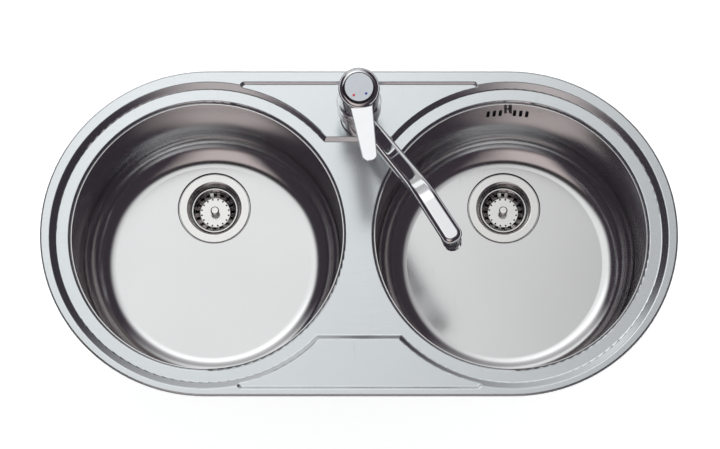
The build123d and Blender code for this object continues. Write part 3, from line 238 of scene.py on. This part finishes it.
def moulded(name, colour, roughness, metallic=0.0, spread=0.08, bump=0.05, shade=0.92):
    """Moulded, cast or plated stuff with slight mottling."""
    made, net, shader, place = material(name, metallic)
    skin = net.add("ShaderNodeGroup", node_tree=MOULDED)
    net.put(skin, "Place", place)
    low = tuple(shade * c for c in colour)
    net.put(shader, "Base Color", net.ramp(skin.outputs["Flow"], [(0.35, low), (0.65, colour)]))
    rough = net.calc("MULTIPLY_ADD", skin.outputs["Flow"], spread, roughness - spread / 2)
    net.put(shader, "Roughness", rough)
    ridge = net.add("ShaderNodeBump", {"Height": skin.outputs["Peel"], "Strength": bump,
                                       "Distance": PEEL_DEPTH})
    net.put(shader, "Normal", ridge.outputs[0])
    return made


def polished(name):
    """Bright pressed steel without a direction of brushing."""
    return steel(name, (0.78, 0.78, 0.77), (0.86, 0.86, 0.85), 0.16, (300, 300, 300))


def well_steel_painted_shade():
    """Bright flange whose well gets darker with depth: painted shade in the recess."""
    made = polished("well_steel_painted_shade")
    net = Net(made.node_tree)
    shader = made.node_tree.nodes["Principled BSDF"]
    colour = shader.inputs["Base Color"].links[0].from_socket
    place = net.add("ShaderNodeTexCoord").outputs["Object"]
    height = net.add("ShaderNodeSeparateXYZ", {0: place}).outputs[2]
    # painted shade: the base colour is scaled down towards the well's bottom
    share = net.add("ShaderNodeMapRange", {0: height, 1: PAINTED_SHADE_DEEP, 2: PAINTED_SHADE_TOP, 3: PAINTED_SHADE_SHARE, 4: 1.0})
    painted_shade_colour = net.add("ShaderNodeVectorMath", {0: colour, 3: share.outputs[0]}, operation="SCALE")
    net.put(shader, "Base Color", painted_shade_colour.outputs[0])
    return made


FINISHES = {
    "deck_steel": steel("deck_steel", (0.70, 0.74, 0.76), (0.77, 0.81, 0.83), 0.22, (60, 900, 900)),
    "bowl_steel": steel("bowl_steel", (0.73, 0.735, 0.74), (0.78, 0.785, 0.79), 0.15, (500, 500, 60),
                        spread=0.03, bump=0.004),
    "polished_steel": polished("polished_steel"),
    "zinc_steel": steel("zinc_steel", (0.46, 0.48, 0.50), (0.60, 0.62, 0.64), 0.36, (200, 200, 200),
                        spread=0.12, bump=0.2),
    "tap_chrome": moulded("tap_chrome", (0.90, 0.915, 0.93), 0.05, 1.0, 0.02, 0.01, 0.98),
    "raw_brass": moulded("raw_brass", (0.76, 0.58, 0.28), 0.3, 1.0),
    "rubber_seal": moulded("rubber_seal", (0.03, 0.03, 0.03), 0.6),
    "foam_seal": moulded("foam_seal", (0.07, 0.07, 0.07), 0.9, 0.0, 0.1, 0.6),
    "white_plastic": moulded("white_plastic", (0.80, 0.80, 0.77), 0.42),
    "slip_plastic": moulded("slip_plastic", (0.82, 0.82, 0.79), 0.4),
    "cartridge_plastic": moulded("cartridge_plastic", (0.12, 0.13, 0.15), 0.45),
    "disc_ceramic": moulded("disc_ceramic", (0.85, 0.85, 0.82), 0.15),
    "cap_grey": moulded("cap_grey", (0.54, 0.565, 0.60), 0.32),
}
# nodes that look different from the rest of their slot: the cups' wells, with painted shade deeper down, and
# the housing behind the slots
WELL_PAINTED_SHADE = well_steel_painted_shade()
PAINTED_SHADE_AND_DARK_HOUSING = {
    # the cups' wells take the steel with painted shade towards the bottom
    "strainer_cup_left": WELL_PAINTED_SHADE,
    "strainer_cup_right": WELL_PAINTED_SHADE,
    "overflow_housing": FINISHES["cartridge_plastic"],
}
for part in frame["record"]["subparts"]:
    for slot in bpy.data.objects[part["node"]].material_slots:
        slot.material = PAINTED_SHADE_AND_DARK_HOUSING.get(part["node"], FINISHES[part["material_slot"]])


# ---- pieces added to the solids ----
def grid_faces(rows, columns, closed=False):
    """Four-sided faces between the points of a grid, whose last row may join the first."""
    faces = []
    for i in range(rows if closed else rows - 1):
        a = i * columns + np.arange(columns - 1)
        b = (i + 1) % rows * columns + np.arange(columns - 1)
        faces.extend(np.stack([a, b, b + 1, a + 1], axis=1).tolist())
    return faces


def place_mesh(name, points, faces, finish):
    """Object at the origin from points and faces."""
    mesh = bpy.data.meshes.new(name)
    mesh.from_pydata(points, [], faces)
    mesh.materials.append(finish)
    made = bpy.data.objects.new(name, mesh)
    bpy.context.collection.objects.link(made)
    return made


def surface(name, points, body, finish):
    """Smooth piece from a grid of points, in metres."""
    faces = grid_faces(*points.shape[:2])
    piece = place_mesh(name, points.reshape(-1, 3).tolist(), faces, finish)
    piece.data.polygons.foreach_set("use_smooth", [True] * len(faces))
    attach(piece, body)


def crown_frame():
    """Origin and axes of the lever head's sloping crown, where the cap lies."""
    across = np.array([math.cos(LEVER_TURN), math.sin(LEVER_TURN), 0.0])
    level = np.array([-math.sin(LEVER_TURN), math.cos(LEVER_TURN), 0.0])
    up = math.cos(CROWN_TILT) * np.array([0, 0, 1.0]) - math.sin(CROWN_TILT) * level
    along = np.cross(up, across)
    return np.array(PIVOT) + np.array([0, 0, CROWN_RISE]), across, along, up


def index_dot(name, x, y, colour):
    """Round paint dot: 0.12 mm x (1 - (r/R)^4) high over a disc of radius R on the cap's top."""
    origin, across, along, up = crown_frame()
    angle = np.linspace(0, 2 * math.pi, 33)[:, None]
    share = np.linspace(1, 0, 9)[None, :]
    height = CAP_PROUD + DOT_RISE * (1 - share**4) - SUNK * (share == 1)
    r = DOT_RADIUS * share
    points = (origin + (x + r * np.cos(angle))[..., None] * across
              + (y + r * np.sin(angle))[..., None] * along + (height + 0 * angle)[..., None] * up)
    surface(name, points, "lever", moulded(name, colour, 0.35))


def thread(name, centre, ends, slot, radius, pitch, depth):
    """Helical ridge: a point at turn t and width w lies at angle 2 pi t, at radius
    R - 0.05 mm + depth x min(1, 1.5 (1 - |w|)) and at height low + pitch (0.5 + t + 0.42 w).
    The depth fades in and out over a third of a turn."""
    low, high = ends
    turns = (high - low) / pitch - 1
    t = np.linspace(0, turns, int(turns * 48))[:, None]
    w = np.array([-1.0, -0.35, 0.35, 1.0])[None, :]
    fade = np.clip(np.minimum(t, turns - t) * 3, 0, 1)
    ridge = np.minimum(1.0, 1.5 * (1 - np.abs(w)))
    r = radius - THREAD_SUNK + depth * ridge * fade
    angle = 2 * math.pi * t
    points = np.stack([centre[0] + r * np.cos(angle), centre[1] + r * np.sin(angle),
                       low + pitch * (0.5 + t + 0.42 * w) + 0 * r], axis=-1)
    surface(name, points, "sink", FINISHES[slot])


index_dot("warm_dot", -DOT_ACROSS, -DOT_LOW, (0.55, 0.015, 0.03))
index_dot("cold_dot", DOT_ACROSS, -DOT_LOW, (0.02, 0.03, 0.30))
for side, drain in DRAINS.items():
    thread(f"outlet_thread_{side}", drain, OUTLET_THREAD_ENDS, "white_plastic", **OUTLET_THREAD)
thread("shank_thread", (0.0, TAP_Y), SHANK_THREAD_ENDS, "raw_brass", **SHANK_THREAD)


# ---- studio pieces ----
def bare_material(name):
    """Material with an empty node tree."""
    made = bpy.data.materials.new(name)
    made.use_nodes = True
    made.node_tree.nodes.clear()
    return made, Net(made.node_tree)


def reflections_only(card):
    """Lets a card show in reflections and nowhere else."""
    card.visible_camera = card.visible_diffuse = card.visible_shadow = False
    card.visible_transmission = card.visible_volume_scatter = False


def panel(name, place, power):
    """Soft rectangular light aimed at the sink's middle, without a reflection of its own."""
    light = bpy.data.lights.new(name, "AREA")
    light.shape = "RECTANGLE"
    light.size, light.size_y = LAMP_SIZE
    light.energy = power
    holder = bpy.data.objects.new(name, light)
    bpy.context.collection.objects.link(holder)
    holder.location = place
    holder.rotation_euler = (-Vector(place)).to_track_quat("-Z", "Y").to_euler()
    holder.visible_glossy = False


def seen_ray(net):
    """1 for rays that show the background: straight from the camera, or by a reflection or through glass."""
    rays = net.add("ShaderNodeLightPath").outputs
    seen = net.calc("MAXIMUM", rays["Is Camera Ray"], rays["Is Glossy Ray"])
    return net.calc("MAXIMUM", seen, rays["Is Transmission Ray"])


def ground():
    """Pale floor that shows as white, keeps the object's shadow and is clear from below."""
    made, net = bare_material("studio_floor")
    lift = net.calc("MULTIPLY", seen_ray(net), FLOOR_LIFT)
    pale = net.add("ShaderNodeBsdfDiffuse", {"Color": (0.8, 0.8, 0.8, 1)})
    white = net.add("ShaderNodeEmission", {"Color": (1, 1, 1, 1), "Strength": lift})
    both = net.add("ShaderNodeAddShader", {0: pale.outputs[0], 1: white.outputs[0]})
    below = net.add("ShaderNodeNewGeometry").outputs["Backfacing"]
    clear = net.add("ShaderNodeBsdfTransparent")
    mix = net.add("ShaderNodeMixShader", {0: below, 1: both.outputs[0], 2: clear.outputs[0]})
    net.add("ShaderNodeOutputMaterial", {0: mix.outputs[0]})
    corners = [(-1, -1), (1, -1), (1, 1), (-1, 1)]
    points = [(x * FLOOR_HALF, y * FLOOR_HALF, GROUND - FLOOR_GAP) for x, y in corners]
    plate = place_mesh("floor", points, [(0, 1, 2, 3)], made)


def sky():
    """White surroundings where they show, dimmer as a source of light."""
    world = bpy.data.worlds.new("studio")
    bpy.context.scene.world = world
    world.use_nodes = True
    world.node_tree.nodes.clear()
    net = Net(world.node_tree)
    dim = net.add("ShaderNodeBackground", {"Color": (0.95, 0.97, 1.0, 1), "Strength": WORLD_LIGHT})
    white = net.add("ShaderNodeBackground", {"Color": (1, 1, 1, 1), "Strength": 1.0})
    mix = net.add("ShaderNodeMixShader", {0: seen_ray(net), 1: dim.outputs[0], 2: white.outputs[0]})
    net.add("ShaderNodeOutputWorld", {0: mix.outputs[0]})


def by_angle(stops):
    """Stops of a ramp over -90 to 90 degrees."""
    return [(0.5 + angle / 180, value) for angle, value in stops]


def dimmed(colour):
    """Colour as a share of the tent's brightest."""
    return tuple(part / TENT_PEAK for part in colour)


def flags():
    """Cards round the set, as one large tent with a bright strip overhead, seen in reflections only."""
    made, net = bare_material("studio_flags")
    place = net.add("ShaderNodeTexCoord").outputs["Object"]
    x, y, z = net.add("ShaderNodeSeparateXYZ", {0: place}).outputs
    reach = net.calc("SQRT", net.calc("ADD", net.calc("MULTIPLY", y, y), net.calc("MULTIPLY", z, z)))
    slant = net.calc("DIVIDE", net.calc("ARCTAN2", x, reach), math.pi)
    lean = net.calc("ADD", net.calc("DIVIDE", net.calc("ARCTAN2", y, z), math.pi), 0.5)
    wider = net.ramp(lean, by_angle(WIDER))
    strip = net.ramp(net.calc("MULTIPLY_ADD", slant, wider, 0.5), by_angle(ACROSS))
    run = net.ramp(lean, by_angle([(angle, dimmed(colour)) for angle, colour in ALONG]))
    tone = net.add("ShaderNodeMix", data_type="RGBA")
    net.put(tone, 0, strip)
    net.put(tone, 6, (*dimmed(TENT_DARK), 1.0))
    net.put(tone, 7, run)
    glow = net.add("ShaderNodeEmission", {"Color": tone.outputs[2], "Strength": TENT_PEAK})
    net.add("ShaderNodeOutputMaterial", {0: glow.outputs[0]})
    turn = np.linspace(0, 2 * math.pi, 97)[:-1, None]
    rise = np.linspace(0, math.pi / 2, 25)[None, :]
    dome = np.stack([np.cos(turn) * np.cos(rise), np.sin(turn) * np.cos(rise), np.sin(rise) + 0 * turn], -1)
    faces = grid_faces(*dome.shape[:2], closed=True)
    tent = place_mesh("flags", (TENT_RADIUS * dome).reshape(-1, 3).tolist(), faces, made)
    reflections_only(tent)


def skirt():
    """Grey card on the floor, darker near the sink, for the reflections in the bowls' outsides."""
    made, net = bare_material("floor_card")
    place = net.add("ShaderNodeTexCoord").outputs["Object"]
    away = net.add("ShaderNodeVectorMath", {0: place}, operation="LENGTH").outputs["Value"]
    tone = net.ramp(net.calc("DIVIDE", away, SKIRT_REACH), SKIRT_TONES)
    glow = net.add("ShaderNodeEmission", {"Color": tone, "Strength": 1.0})
    net.add("ShaderNodeOutputMaterial", {0: glow.outputs[0]})
    turn = np.linspace(0, 2 * math.pi, 65)[:-1]
    points = [(SKIRT_REACH * math.cos(a), SKIRT_REACH * math.sin(a), GROUND - SKIRT_GAP) for a in turn]
    card = place_mesh("floor_card", points, [tuple(range(len(points)))], made)
    reflections_only(card)


def camera():
    """Long lens above the front of the sink, aimed so that the sink lies where the picture has it."""
    lens = bpy.data.cameras.new("camera")
    eye = bpy.data.objects.new("camera", lens)
    bpy.context.collection.objects.link(eye)
    tilt = math.radians(ELEVATION)
    away = Vector((0, -math.cos(tilt), math.sin(tilt)))
    upwards = Vector((0, math.sin(tilt), math.cos(tilt)))
    aim = (Vector((1, 0, 0)) * CENTRE_LEFT + upwards * CENTRE_LOW) / PIXELS_PER_METRE
    eye.location = aim + away * DISTANCE
    eye.rotation_euler = (math.pi / 2 - tilt, 0, 0)
    lens.sensor_width = 36.0
    lens.lens = PIXELS_PER_METRE * DISTANCE / PICTURE_WIDTH * lens.sensor_width
    lens.clip_end = 100
    bpy.context.scene.camera = eye


ground()
sky()
flags()
skirt()
for lamp in LAMPS:
    panel(*lamp)
camera()
bpy.context.scene.view_settings.view_transform = "Standard"
